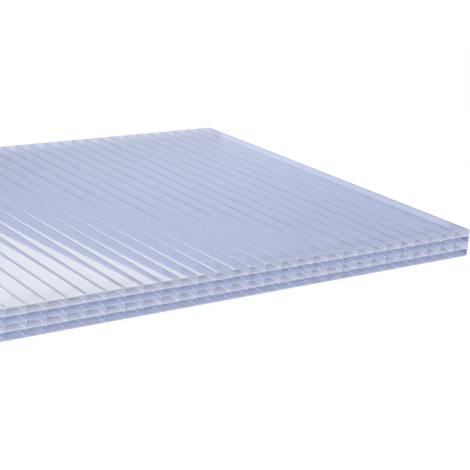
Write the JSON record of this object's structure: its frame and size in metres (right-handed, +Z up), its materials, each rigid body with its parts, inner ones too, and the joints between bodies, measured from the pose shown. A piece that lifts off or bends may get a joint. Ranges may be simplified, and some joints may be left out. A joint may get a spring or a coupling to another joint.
{
  "type": "multiwall polycarbonate sheet",
  "caption": "Clear multiwall plastic glazing sheet: flat skins joined by thin level walls and upright ribs, with open flutes at both cut ends and closed long edges.",
  "frame": {"origin": "middle of the underside", "axes": "+X across the ribs along the width, +Y along the flutes, +Z up through the thickness"},
  "size_m": [1.05, 0.54, 0.032],
  "materials": {
    "clear_polycarbonate": "clear glossy extruded polycarbonate with a faint lavender blue tint"
  },
  "bodies": {
    "root": {"multiwall_sheet": "clear_polycarbonate"}
  },
  "joints": []
}
